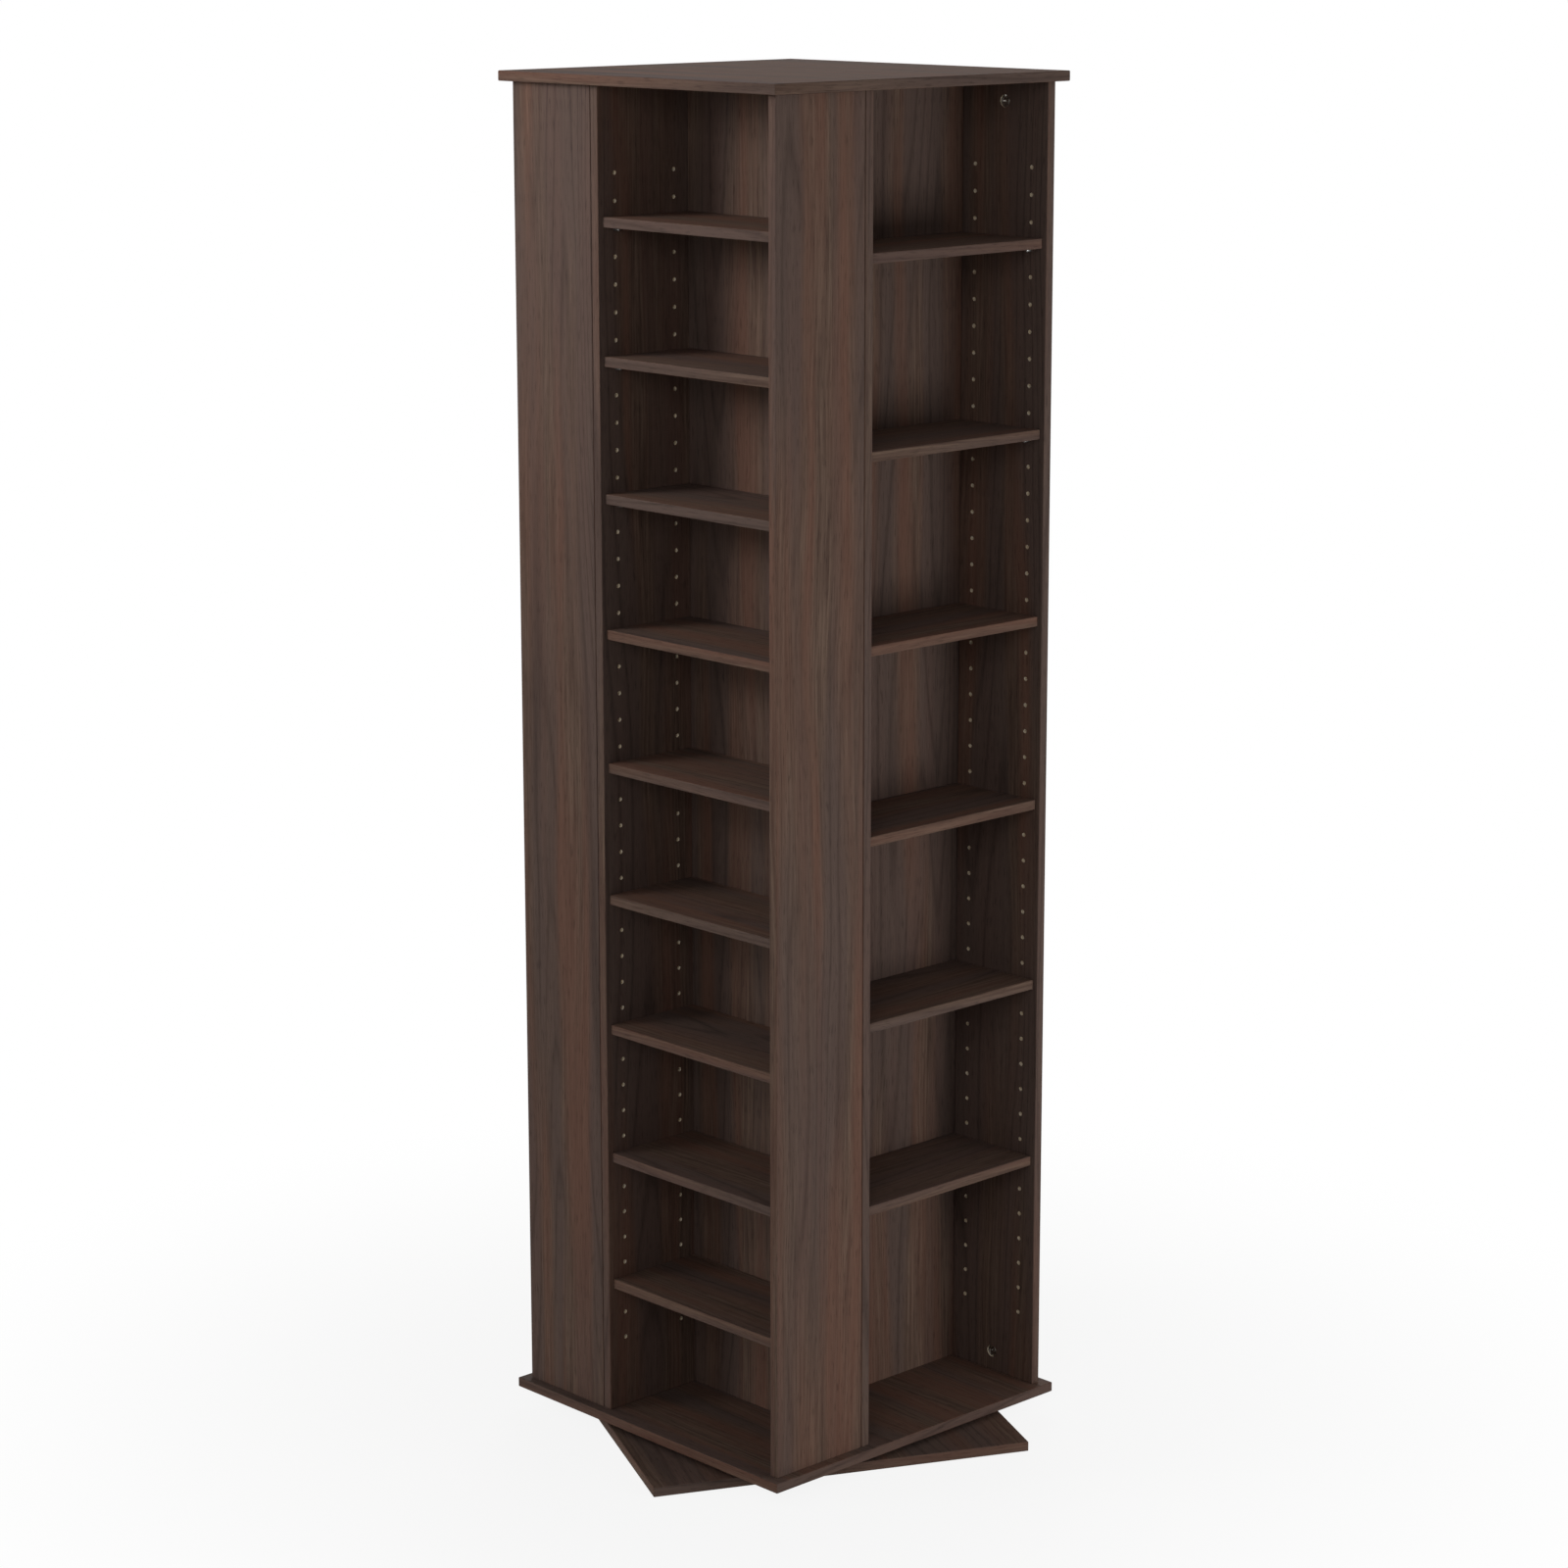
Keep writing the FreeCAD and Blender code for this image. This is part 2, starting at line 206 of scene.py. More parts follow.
# Walnut-print foil, nearly matt. The print has calm grey hearts with tall thin arches, reddish
# bands about 30 mm wide, streaks 3 mm wide, and short dark pores all over. A real pore is 0.3 mm
# wide: here it is 1.4 mm, so that it shows.
foil, tree = new_material("espresso_walnut_print_foil")
lie = add_node(tree, "ShaderNodeUVMap", {"uv_map": PRINT})
leaned = add_node(tree, "ShaderNodeVectorMath", {"operation": "ADD"}, {0: lie})

# The noises of the print: where they lie, the width of their spots across the grain and the
# length along it in mm, detail and roughness.
noise = {}
for name, vector, across_mm, along_mm, detail, roughness in (
    ("sway", lie, 80, 600, 2, 0.5),
    ("streaks", leaned, 3.4, 150, 4, 0.65),
    ("pores", leaned, 1.4, 22, 2, 0.5),
    ("bands", leaned, 28, 700, 1, 0.5),
    ("hearts", leaned, 60, 1100, 1, 0.5),
    ("arches", leaned, 90, 1500, 0, 0.5),
):
    scaled = add_node(
        tree, "ShaderNodeMapping",
        inputs={"Vector": vector, "Scale": (1 / (across_mm * MM), 1 / (along_mm * MM), 1)},
    )
    noise[name] = add_node(
        tree, "ShaderNodeTexNoise", {"noise_dimensions": "2D"},
        {"Vector": scaled, "Scale": 1.0, "Detail": detail, "Roughness": roughness},
    )

# The grain sways to both sides of straight.
sway = add_node(
    tree, "ShaderNodeMath", {"operation": "MULTIPLY_ADD"}, {0: noise["sway"], 1: SWAY, 2: -SWAY / 2}
)
sideways = add_node(tree, "ShaderNodeCombineXYZ", inputs={"X": sway})
tree.links.new(sideways.outputs[0], leaned.inputs[1])

# The streaks lie about a middle of 0.5, and are weaker in the hearts.
heart = add_node(
    tree, "ShaderNodeValToRGB", stops=[(0.44, 0.0), (0.58, 1.0)], inputs={"Fac": noise["hearts"]}
)
grey_share = add_node(
    tree, "ShaderNodeMath", {"operation": "MULTIPLY"}, {0: heart, 1: HEART_GREY}
)
calm = add_node(tree, "ShaderNodeMath", {"operation": "SUBTRACT"}, {0: 1.0, 1: grey_share})
contrast = add_node(
    tree, "ShaderNodeMath", {"operation": "SUBTRACT"}, {0: noise["streaks"], 1: 0.5}
)
fibre = add_node(
    tree, "ShaderNodeMath", {"operation": "MULTIPLY_ADD"}, {0: contrast, 1: calm, 2: 0.5}
)
brown = add_node(
    tree, "ShaderNodeValToRGB",
    stops=[(0.32, "#4c3b33"), (0.50, "#5b493f"), (0.68, "#6a574b")], inputs={"Fac": fibre},
)

# The red of the bands is weaker in the hearts too.
band = add_node(
    tree, "ShaderNodeValToRGB", stops=[(0.38, 0.0), (0.68, 0.62)], inputs={"Fac": noise["bands"]}
)
red_share = add_node(tree, "ShaderNodeMath", {"operation": "MULTIPLY"}, {0: band, 1: calm})

# The arches are dark lines of equal height on a smooth noise, and show in the hearts alone.
rise = add_node(
    tree, "ShaderNodeMath", {"operation": "MULTIPLY"}, {0: noise["arches"], 1: ARCH_COUNT}
)
ring = add_node(tree, "ShaderNodeMath", {"operation": "PINGPONG"}, {0: rise, 1: 0.5})
arch = add_node(tree, "ShaderNodeValToRGB", stops=[(0.0, 0.64), (0.18, 1.0)], inputs={"Fac": ring})
arch_share = add_node(
    tree, "ShaderNodeMath", {"operation": "MULTIPLY"}, {0: heart, 1: ARCH_INK}
)
pore = add_node(
    tree, "ShaderNodeValToRGB", stops=[(0.28, 0.5), (0.42, 1.0)], inputs={"Fac": noise["pores"]}
)

# Each ink goes over the ones before it: how it mixes, how much of it shows, and its colour.
printed = brown.outputs["Color"]
for blend, share, ink in (
    ("MIX", red_share, linear("#68493d")),
    ("MIX", grey_share, linear("#524643")),
    ("MULTIPLY", arch_share, arch),
    ("MULTIPLY", PORE_INK, pore),
):
    printed = add_node(
        tree, "ShaderNodeMix", {"data_type": "RGBA", "blend_type": blend},
        {0: share, MIX_UNDER: printed, MIX_OVER: ink},
    ).outputs[MIX_RESULT]

relief = add_node(
    tree, "ShaderNodeMath", {"operation": "ADD"}, {0: noise["pores"], 1: noise["streaks"]}
)
press = add_node(
    tree, "ShaderNodeBump", inputs={"Height": relief, "Strength": 0.25, "Distance": 0.15 * MM}
)
sheen = add_node(
    tree, "ShaderNodeMath", {"operation": "MULTIPLY_ADD"}, {0: noise["streaks"], 1: 0.12, 2: 0.72}
)
surface = add_node(
    tree, "ShaderNodeBsdfPrincipled",
    inputs={
        "Base Color": printed, "Roughness": sheen, "Normal": press,
        "IOR": 1.5, "Specular IOR Level": 0.08,
    },
)
add_node(tree, "ShaderNodeOutputMaterial", inputs={"Surface": surface})

# Raw particle board, cut: pale chips 1 to 2 mm across, each its own shade of tan, dead matt.
raw, tree = new_material("raw_particle_board")
place = add_node(tree, "ShaderNodeTexCoord")
chips = add_node(
    tree, "ShaderNodeTexVoronoi",
    inputs={"Vector": place.outputs["Object"], "Scale": 1 / (1.5 * MM)},
)
chip_colour = add_node(
    tree, "ShaderNodeValToRGB",
    stops=[(0.0, "#cdb998"), (0.5, "#e6d8c0"), (1.0, "#f6eddd")],
    inputs={"Fac": chips.outputs["Color"]},
)
surface = add_node(
    tree, "ShaderNodeBsdfPrincipled",
    inputs={"Base Color": chip_colour, "Roughness": 0.9, "Specular IOR Level": 0.2},
)
add_node(tree, "ShaderNodeOutputMaterial", inputs={"Surface": surface})

EDGE_ROUND = 1.2 * MM
BIT_OUT = 1 * MM  # how far a drill bit stands out of the surface
SHEET_STEP = (0.83, 1.31)  # the boards are cut that far apart on the sheet of print
SIDE_STEP = (0.37, 0.59)  # and the sides of one board that far apart


def box_shape(low, high):
    """A bmesh box from its lowest corner to its highest."""
    shape = bmesh.new()
    size = Vector(high) - Vector(low)
    middle = (Vector(high) + Vector(low)) / 2
    bmesh.ops.create_cube(
        shape, size=1, matrix=Matrix.Translation(middle) @ Matrix.Diagonal(size).to_4x4()
    )
    return shape


def make_piece(shape, name, materials):
    """The shape as an object in the scene."""
    mesh = bpy.data.meshes.new(name)
    bmesh.ops.recalc_face_normals(shape, faces=shape.faces[:])
    shape.to_mesh(mesh)
    shape.free()
    for material in materials:
        mesh.materials.append(material)
    piece = bpy.data.objects.new(name, mesh)
    bpy.context.scene.collection.objects.link(piece)
    return piece


def make_board(low, high, name):
    """A faced board with its edges taken off, as the edging machine leaves them."""
    shape = box_shape(low, high)
    bmesh.ops.bevel(
        shape, geom=shape.edges[:], offset=EDGE_ROUND, offset_type="OFFSET",
        segments=2, profile=0.5, affect="EDGES", material=-1,
    )
    return make_piece(shape, name, [foil, raw])


def aimed(way):
    """The turn that points +Z that way."""
    return Vector(way).to_track_quat("Z", "Y").to_matrix().to_4x4()


def drill_bits(places, width, depth, sides):
    """The shape that drill bits take out. A place is a point on the surface and the way in."""
    shape = bmesh.new()
    for point, way in places:
        middle = Vector(point) + Vector(way) * (depth - BIT_OUT) / 2
        bmesh.ops.create_cone(
            shape, cap_ends=True, segments=sides, radius1=width / 2, radius2=width / 2,
            depth=depth + BIT_OUT, matrix=Matrix.Translation(middle) @ aimed(way),
        )
    return shape


def cut_away(piece, cutter_shape):
    """Takes a shape out of the piece. The cut's walls get the last of the piece's materials."""
    cutter = make_piece(cutter_shape, "cutter", piece.data.materials)
    for face in cutter.data.polygons:
        face.material_index = len(piece.data.materials) - 1
    cut = piece.modifiers.new("cut", "BOOLEAN")
    cut.operation = "DIFFERENCE"
    cut.solver = "EXACT"
    cut.object = cutter
    graph = bpy.context.evaluated_depsgraph_get()
    cut_mesh = bpy.data.meshes.new_from_object(piece.evaluated_get(graph))
    piece.modifiers.clear()
    whole_mesh = piece.data
    piece.data = cut_mesh
    cut_mesh.name = piece.name
    bpy.data.meshes.remove(whole_mesh)
    bpy.data.objects.remove(cutter)


def lay_print(piece, grain, sheet_place):
    """Lays the print on the piece, from that place on the sheet. The grain runs along the axis
    grain: 0 is X, 1 is Y and 2 is Z. On an end, it runs along the other long side."""
    mesh = piece.data
    layer = mesh.uv_layers.new(name=PRINT)
    size = Vector(piece.dimensions)
    second = max((axis for axis in (0, 1, 2) if axis != grain), key=lambda axis: size[axis])
    for face in mesh.polygons:
        facing = max((0, 1, 2), key=lambda axis: abs(face.normal[axis]))
        along = second if facing == grain else grain
        across = next(axis for axis in (2, 1, 0) if axis not in (facing, along))
        side = facing * 2 + (face.normal[facing] > 0)
        for corner in face.loop_indices:
            spot = mesh.vertices[mesh.loops[corner].vertex_index].co
            layer.data[corner].uv = (
                spot[across] + sheet_place * SHEET_STEP[0] + side * SIDE_STEP[0],
                spot[along] + sheet_place * SHEET_STEP[1] + side * SIDE_STEP[1],
            )


def settle(piece, turn, body, node):
    """Turns the finished piece about the spin axis, and puts it in the node's place."""
    piece.data.transform(Matrix.Rotation(turn, 4, "Z"))
    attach(piece, body)
    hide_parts(node)


BASE_TURN = math.radians(-26)  # as the board stands under the tower at rest
BASE_SIDE = 470 * MM
SCREW_SPOT = 66 * MM  # from the spin axis to a screw, along X and along Y
ACCESS_HOLE = 20 * MM
BORE_SIDES = 40

base_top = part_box("base_panel")[1].z
half = BASE_SIDE / 2
base_board = make_board((-half, -half, 0), (half, half, base_top), "base_board")

# The access hole is as far out as the screws over it: each comes above it as the tower turns.
access = (SCREW_SPOT * math.sqrt(2), 0, base_top)
cut_away(
    base_board, drill_bits([(access, (0, 0, -1))], ACCESS_HOLE, base_top + BIT_OUT, BORE_SIDES)
)
lay_print(base_board, grain=0, sheet_place=1)
settle(base_board, BASE_TURN, "base", "base_panel")

# ---------------------------------------------------------------------------
# Swivel bearing: two pressed plates of galvanised sheet with a ring of steel balls
# between them, held by pan-head screws to the base board and to the bottom board.
# ---------------------------------------------------------------------------

# Galvanised sheet: zinc crystals about 9 mm across, each a slightly different grey.
galvanised, tree = new_material("galvanised_sheet")
place = add_node(tree, "ShaderNodeTexCoord")
crystals = add_node(
    tree, "ShaderNodeTexVoronoi", inputs={"Vector": place.outputs["Object"], "Scale": 1 / (9 * MM)}
)
crystal_shade = add_node(
    tree, "ShaderNodeValToRGB", stops=[(0.0, "#a9adb0"), (1.0, "#c6cacd")],
    inputs={"Fac": crystals.outputs["Color"]},
)
crystal_gloss = add_node(
    tree, "ShaderNodeMath", {"operation": "MULTIPLY_ADD"},
    {0: crystals.outputs["Distance"], 1: 0.12, 2: 0.32},
)
surface = add_node(
    tree, "ShaderNodeBsdfPrincipled",
    inputs={"Base Color": crystal_shade, "Metallic": 1.0, "Roughness": crystal_gloss},
)
add_node(tree, "ShaderNodeOutputMaterial", inputs={"Surface": surface})

for plate in ("bearing_lower_plate", "bearing_upper_plate"):
    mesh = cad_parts[plate].data
    mesh.materials.clear()
    mesh.materials.append(galvanised)

# Hardened ball steel, ground and polished: almost a mirror, with faint wear marks 1 mm wide.
ball_steel, tree = new_material("polished_ball_steel")
place = add_node(tree, "ShaderNodeTexCoord")
wear = add_node(
    tree, "ShaderNodeTexNoise",
    inputs={"Vector": place.outputs["Object"], "Scale": 1 / (1.0 * MM), "Detail": 2.0},
)
ball_gloss = add_node(
    tree, "ShaderNodeMath", {"operation": "MULTIPLY_ADD"}, {0: wear, 1: 0.10, 2: 0.05}
)
surface = add_node(
    tree, "ShaderNodeBsdfPrincipled",
    inputs={"Base Color": linear("#d9dadb"), "Metallic": 1.0, "Roughness": ball_gloss},
)
add_node(tree, "ShaderNodeOutputMaterial", inputs={"Surface": surface})

BALL_COUNT = 60
RACE_R = 55 * MM

ball_low, ball_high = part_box("bearing_balls")
shape = bmesh.new()
for k in range(BALL_COUNT):
    bmesh.ops.create_icosphere(
        shape, subdivisions=2, radius=(ball_high.z - ball_low.z) / 2,
        matrix=Matrix.Rotation(2 * math.pi * k / BALL_COUNT, 4, "Z")
        @ Matrix.Translation((RACE_R, 0, (ball_low.z + ball_high.z) / 2)),
    )
for face in shape.faces:
    face.smooth = True
settle(make_piece(shape, "ball_ring", [ball_steel]), 0, "ball_ring", "bearing_balls")

# Zinc plate on turned steel, dulled in store: mid grey, with fine marks 0.4 mm wide all over.
zinc, tree = new_material("dulled_zinc_plate")
place = add_node(tree, "ShaderNodeTexCoord")
turning_marks = add_node(
    tree, "ShaderNodeTexNoise",
    inputs={"Vector": place.outputs["Object"], "Scale": 1 / (0.4 * MM), "Detail": 1.0},
)
zinc_gloss = add_node(
    tree, "ShaderNodeMath", {"operation": "MULTIPLY_ADD"}, {0: turning_marks, 1: 0.15, 2: 0.32}
)
surface = add_node(
    tree, "ShaderNodeBsdfPrincipled",
    inputs={"Base Color": linear("#a6a7a5"), "Metallic": 1.0, "Roughness": zinc_gloss},
)
add_node(tree, "ShaderNodeOutputMaterial", inputs={"Surface": surface})

HEAD_W = 7 * MM
HEAD_ROUND = 0.9 * MM
SHANK_W = 3.5 * MM
SCREW_SIDES = 24
RECESS_W = 0.9 * MM
RECESS_L = 4 * MM
RECESS_DEEP = 1.1 * MM
PLATE_T = 1.3 * MM
SAME_HEIGHT = 1e-6  # metres: corners nearer than that are level
SHARP_ANGLE = math.radians(35)  # a steeper edge shows as an edge


def screw_shape(low_z, high_z, seat_z, head_up):
    """A pan-head screw along Z, from low_z to high_z. seat_z is under its head."""
    shape = bmesh.new()
    crown_z, tip_z = (high_z, low_z) if head_up else (low_z, high_z)
    bmesh.ops.create_cone(
        shape, cap_ends=True, segments=SCREW_SIDES, radius1=HEAD_W / 2, radius2=HEAD_W / 2,
        depth=abs(crown_z - seat_z), matrix=Matrix.Translation((0, 0, (crown_z + seat_z) / 2)),
    )
    rim = [e for e in shape.edges if all(abs(v.co.z - crown_z) < SAME_HEIGHT for v in e.verts)]
    bmesh.ops.bevel(
        shape, geom=rim, offset=HEAD_ROUND, segments=3, profile=0.5, affect="EDGES", material=-1
    )
    under = [f for f in shape.faces if abs(f.calc_center_median().z - seat_z) < SAME_HEIGHT]
    bmesh.ops.inset_individual(shape, faces=under, thickness=(HEAD_W - SHANK_W) / 2, depth=0)
    tip = bmesh.ops.extrude_discrete_faces(shape, faces=under)["faces"]
    bmesh.ops.translate(shape, verts=tip[0].verts[:], vec=(0, 0, tip_z - seat_z))
    return shape


def cut_cross(piece, face_z, width, length, deep):
    """Cuts a screwdriver's cross recess into the piece's face at face_z, one slot at a time."""
    for x, y in ((width / 2, length / 2), (length / 2, width / 2)):
        cut_away(piece, box_shape((-x, -y, face_z - deep), (x, y, face_z + deep)))


def repeat(pattern, places, name, material):
    """One piece with a copy of the pattern at each place. The pattern itself is thrown away."""
    shape = bmesh.new()
    for place in places:
        start = len(shape.verts)
        shape.from_mesh(pattern.data)
        shape.verts.ensure_lookup_table()
        bmesh.ops.transform(shape, matrix=place, verts=shape.verts[start:])
    bpy.data.objects.remove(pattern)
    piece = make_piece(shape, name, [material])
    piece.data.shade_smooth()
    piece.data.set_sharp_from_angle(angle=SHARP_ANGLE)
    return piece


screw_spots = [
    Matrix.Translation((x, y, 0))
    for x in (-SCREW_SPOT, SCREW_SPOT) for y in (-SCREW_SPOT, SCREW_SPOT)
]
for name, body, bearing, turn, head_up in (
    ("base_screws", "base", "bearing_lower", BASE_TURN, True),
    ("bottom_screws", "tower", "bearing_upper", 0, False),
):
    screw_low, screw_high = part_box(bearing + "_screws")
    plate_low, plate_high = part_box(bearing + "_plate")
    seat_z = plate_low.z + PLATE_T if head_up else plate_high.z - PLATE_T
    crown_z = screw_high.z if head_up else screw_low.z
    screw = make_piece(screw_shape(screw_low.z, screw_high.z, seat_z, head_up), "screw", [zinc])
    cut_cross(screw, crown_z, RECESS_W, RECESS_L, RECESS_DEEP)
    screws = repeat(screw, screw_spots, name, zinc)
    settle(screws, turn, body, bearing + "_screws")

# ---------------------------------------------------------------------------
# Bottom and top boards: square foil-faced boards with edging on all four sides,
# standing 12 mm proud of the uprights. Dowels and cam bolts hold the uprights.
# ---------------------------------------------------------------------------
for name, node, sheet_place in (("bottom_board", "bottom_panel", 2), ("top_board", "top_panel", 3)):
    board = make_board(*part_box(node), name)
    lay_print(board, grain=0, sheet_place=sheet_place)
    settle(board, 0, "tower", node)

# ---------------------------------------------------------------------------
# Uprights: each unit has a side board and a divider board, foil-faced, with the
# grain upright. Each wall has two upright rows of pin holes, one hole every 32 mm.
# ---------------------------------------------------------------------------
PIN_W = 5 * MM
PIN_HOLE = 5.2 * MM
PIN_HOLE_DEEP = 8 * MM
PIN_SIDES = 12
PIN_FROM_FACE = 25 * MM
PIN_FROM_BACK = 22 * MM
ROW_PITCH = 32 * MM
FIRST_ROW, LAST_ROW = 2, 46
LOWEST_SHELF_ROW = 4
CAM_BORE = 15 * MM
CAM_BORE_DEEP = 10 * MM
CAM_FROM_END = 25 * MM
JOINT_GAP = 0.9 * MM  # left where a side board butts against a divider
SIDE_SHEET, DIVIDER_SHEET = 4, 8

side_low, side_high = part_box("side_panel_a")
divider_low, divider_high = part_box("divider_a")
side_butt = side_high - Vector((0, JOINT_GAP, 0))
lowest_pin_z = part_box("shelf_a_1")[0].z - PIN_W / 2
row_heights = [
    lowest_pin_z + (row - LOWEST_SHELF_ROW) * ROW_PITCH for row in range(FIRST_ROW, LAST_ROW + 1)
]
pin_columns = (side_low.y + PIN_FROM_FACE, side_high.y - PIN_FROM_BACK)
cam_heights = (side_low.z + CAM_FROM_END, side_high.z - CAM_FROM_END)
cam_y = (side_low.y + side_high.y) / 2

# The right wall's holes are in the unit's own side board. Those of the next unit's left wall
# are in the back of the divider.
right_holes = [((side_low.x, y, z), (1, 0, 0)) for z in row_heights for y in pin_columns]
next_left_holes = [((-y, divider_high.y, z), (0, -1, 0)) for z in row_heights for y in pin_columns]
cam_bores = [((side_low.x, cam_y, z), (1, 0, 0)) for z in cam_heights]

for number, unit in enumerate("abcd"):
    turn = number * math.pi / 2
    side_board = make_board(side_low, side_butt, "side_board_" + unit)
    cut_away(side_board, drill_bits(right_holes, PIN_HOLE, PIN_HOLE_DEEP, PIN_SIDES))
    cut_away(side_board, drill_bits(cam_bores, CAM_BORE, CAM_BORE_DEEP, BORE_SIDES))
    lay_print(side_board, grain=2, sheet_place=SIDE_SHEET + number)
    settle(side_board, turn, "tower", "side_panel_" + unit)

    divider_board = make_board(divider_low, divider_high, "divider_board_" + unit)
    cut_away(divider_board, drill_bits(next_left_holes, PIN_HOLE, PIN_HOLE_DEEP, PIN_SIDES))
    lay_print(divider_board, grain=2, sheet_place=DIVIDER_SHEET + number)
    settle(divider_board, turn, "tower", "divider_" + unit)

# ---------------------------------------------------------------------------
# Shelves: loose foil-faced boards with the grain along their length and an edging
# strip on the front. Each lies on four steel pins.
# ---------------------------------------------------------------------------
SHELF_SHEET = 12
UNIT_STEP, LEVEL_STEP = 3, 2  # places on the sheet from one unit to the next, and between levels

# The shelves of units a and c run along X, and those of b and d along Y.
for number, unit in enumerate("abcd"):
    for node in sorted(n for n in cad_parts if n.startswith("shelf_" + unit + "_")):
        level = int(node.split("_")[-1])
        sheet_place = SHELF_SHEET + number * UNIT_STEP + level * LEVEL_STEP
        shelf = make_board(*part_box(node), node.replace("shelf", "shelf_board"))
        lay_print(shelf, grain=number % 2, sheet_place=sheet_place)
        settle(shelf, 0, "tower", node)

# ---------------------------------------------------------------------------
# Shelf pins: plain zinc-plated steel pins 5 mm thick, with rounded ends, pushed
# into the holes under each shelf.
# ---------------------------------------------------------------------------
PIN_ROUND = 0.8 * MM
PIN_OUT = 9 * MM
HOLE_END_GAP = 0.5 * MM  # between a fitting and the bottom of its hole

pin_in = PIN_HOLE_DEEP - HOLE_END_GAP
left_wall_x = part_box("divider_d")[1].x
for number, unit in enumerate("abcd"):
    shape = bmesh.new()
    bmesh.ops.create_cone(
        shape, cap_ends=True, segments=PIN_SIDES, radius1=PIN_W / 2, radius2=PIN_W / 2,
        depth=pin_in + PIN_OUT, matrix=Matrix.Translation((0, 0, (PIN_OUT - pin_in) / 2)),
    )
    rims = [e for e in shape.edges if abs(e.verts[0].co.z - e.verts[1].co.z) < SAME_HEIGHT]
    bmesh.ops.bevel(
        shape, geom=rims, offset=PIN_ROUND, segments=2, profile=0.5, affect="EDGES", material=-1
    )
    unders = [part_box(n)[0].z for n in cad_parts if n.startswith("shelf_" + unit + "_")]
    pin_places = [
        Matrix.Translation((x, y, z - PIN_W / 2)) @ aimed((way, 0, 0))
        for z in sorted(unders) for y in pin_columns
        for x, way in ((side_low.x, -1), (left_wall_x, 1))
    ]
    pins = repeat(make_piece(shape, "pin", [zinc]), pin_places, "steel_pins_" + unit, zinc)
    settle(pins, number * math.pi / 2, "tower", "shelf_pins_" + unit)

# ---------------------------------------------------------------------------
# Cam locks: die-cast zinc discs in 15 mm bores near both ends of each side board.
# A cross recess in the face takes the screwdriver that turns them.
# ---------------------------------------------------------------------------

# Die-cast zinc, left as cast: grey with a soft gloss and a faint orange-peel of about 0.6 mm.
cast_zinc, tree = new_material("die_cast_zinc")
place = add_node(tree, "ShaderNodeTexCoord")
peel = add_node(
    tree, "ShaderNodeTexNoise",
    inputs={"Vector": place.outputs["Object"], "Scale": 1 / (0.6 * MM), "Detail": 2.0},
)
cast_shade = add_node(
    tree, "ShaderNodeValToRGB", stops=[(0.3, "#a09d99"), (0.7, "#bfbcb7")], inputs={"Fac": peel}
)
cast_bump = add_node(
    tree, "ShaderNodeBump", inputs={"Height": peel, "Strength": 0.25, "Distance": 0.05 * MM}
)
surface = add_node(
    tree, "ShaderNodeBsdfPrincipled",
    inputs={"Base Color": cast_shade, "Metallic": 1.0, "Roughness": 0.28, "Normal": cast_bump},
)
add_node(tree, "ShaderNodeOutputMaterial", inputs={"Surface": surface})

CAM_PLAY = 0.15 * MM  # all round, in its bore
CAM_SUNK = 1.0 * MM  # how deep its face lies in the bore
CAM_RIM = 1.1 * MM
CAM_GROOVE = 1.3 * MM
CAM_GROOVE_DEEP = 0.9 * MM
CAM_SLOPE = 0.2 * MM  # how far the walls of the groove lean out
CAM_CROSS_W = 1.4 * MM
CAM_CROSS_L = 7 * MM
CAM_CROSS_DEEP = 2.2 * MM
NOTCH_W = 3 * MM
NOTCH_FROM = 5.2 * MM  # from the cam's middle
NOTCH_DEEP = 1.5 * MM

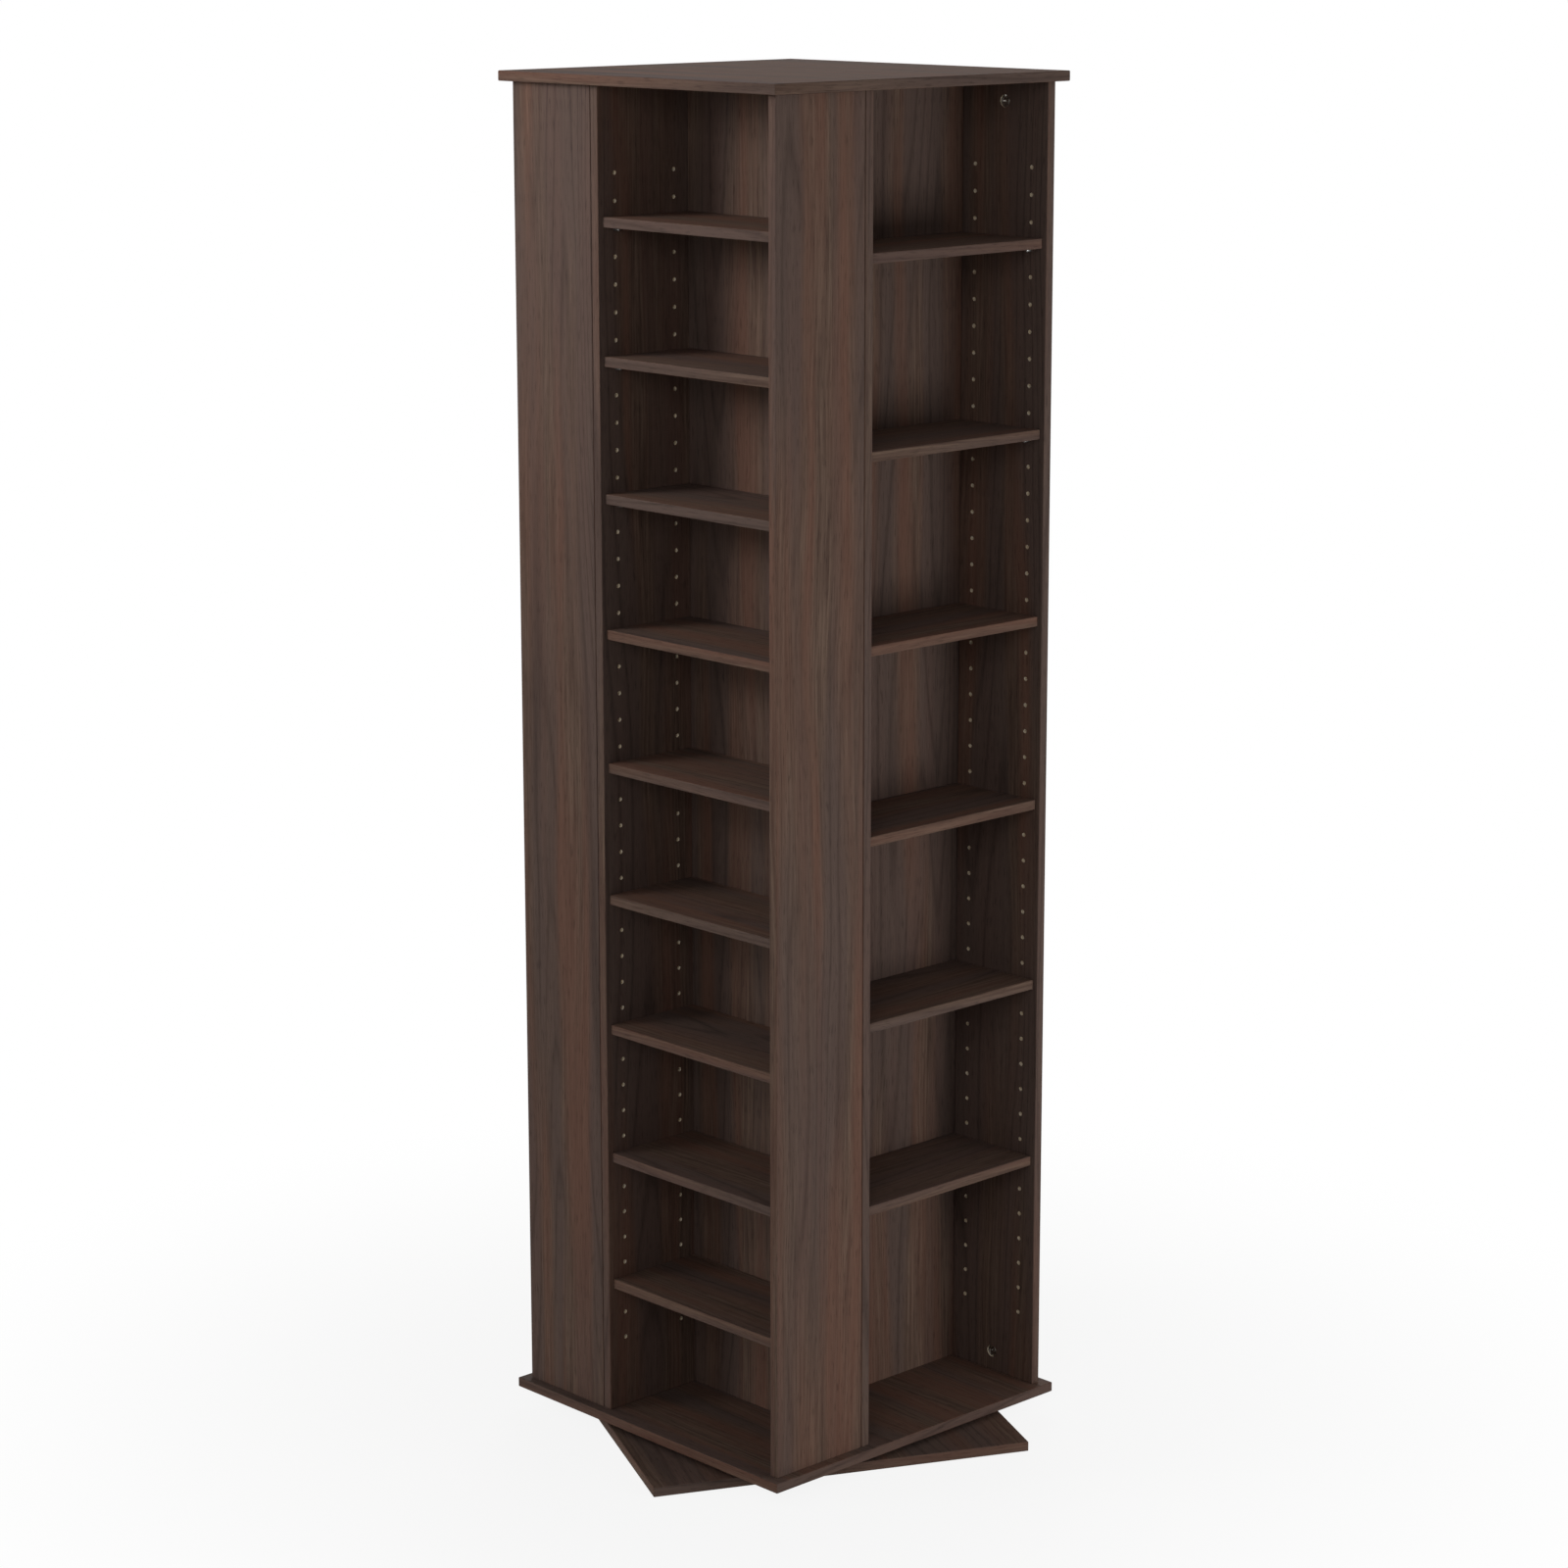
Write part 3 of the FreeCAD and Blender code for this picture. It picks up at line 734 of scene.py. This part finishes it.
cam_end = CAM_BORE_DEEP - HOLE_END_GAP
cam_r = CAM_BORE / 2 - CAM_PLAY
shape = bmesh.new()
bmesh.ops.create_cone(
    shape, cap_ends=True, segments=BORE_SIDES, radius1=cam_r, radius2=cam_r,
    depth=cam_end - CAM_SUNK, matrix=Matrix.Translation((0, 0, (cam_end + CAM_SUNK) / 2)),
)
shape.normal_update()
front = [f for f in shape.faces if f.normal.z < 0 and len(f.verts) == BORE_SIDES]
for thickness, depth in (
    (CAM_RIM, 0), (CAM_SLOPE, -CAM_GROOVE_DEEP), (CAM_GROOVE, 0), (CAM_SLOPE, CAM_GROOVE_DEEP)
):
    bmesh.ops.inset_individual(shape, faces=front, thickness=thickness, depth=depth)
cam = make_piece(shape, "cam", [cast_zinc])
cut_cross(cam, CAM_SUNK, CAM_CROSS_W, CAM_CROSS_L, CAM_CROSS_DEEP)
notch_high = (NOTCH_W / 2, CAM_BORE, CAM_SUNK + NOTCH_DEEP)  # well past the rim
cut_away(cam, box_shape((-NOTCH_W / 2, NOTCH_FROM, 0), notch_high))

# Each notch points to the nearer end of its side board, where the bolt comes in.
cam_places = [
    Matrix.Rotation(number * math.pi / 2, 4, "Z")
    @ Matrix.Translation((side_low.x, cam_y, z))
    @ aimed((1, 0, 0))
    @ Matrix.Rotation(notch_turn, 4, "Z")
    for number in range(4) for z, notch_turn in zip(cam_heights, (math.pi, 0))
]
settle(repeat(cam, cam_places, "cam_discs", cast_zinc), 0, "tower", "cam_locks")

# ---------------------------------------------------------------------------
# Cam bolts and dowels: zinc-plated bolts and plain beech dowels, shut inside the
# boards. Nothing shows of them once the tower stands.
# ---------------------------------------------------------------------------

# Beech rod, left bare: pale tan with short brown flecks about 3 mm long.
beech, tree = new_material("beech_dowel_rod")
place = add_node(tree, "ShaderNodeTexCoord")
flecks = add_node(
    tree, "ShaderNodeTexNoise",
    inputs={"Vector": place.outputs["Object"], "Scale": 1 / (3 * MM), "Detail": 3.0},
)
beech_shade = add_node(
    tree, "ShaderNodeValToRGB", stops=[(0.35, "#b98a5a"), (0.6, "#d1a877")], inputs={"Fac": flecks}
)
surface = add_node(
    tree, "ShaderNodeBsdfPrincipled", inputs={"Base Color": beech_shade, "Roughness": 0.7}
)
add_node(tree, "ShaderNodeOutputMaterial", inputs={"Surface": surface})

for node, material in (("cam_bolts", zinc), ("dowels", beech)):
    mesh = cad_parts[node].data
    mesh.materials.clear()
    mesh.materials.append(material)
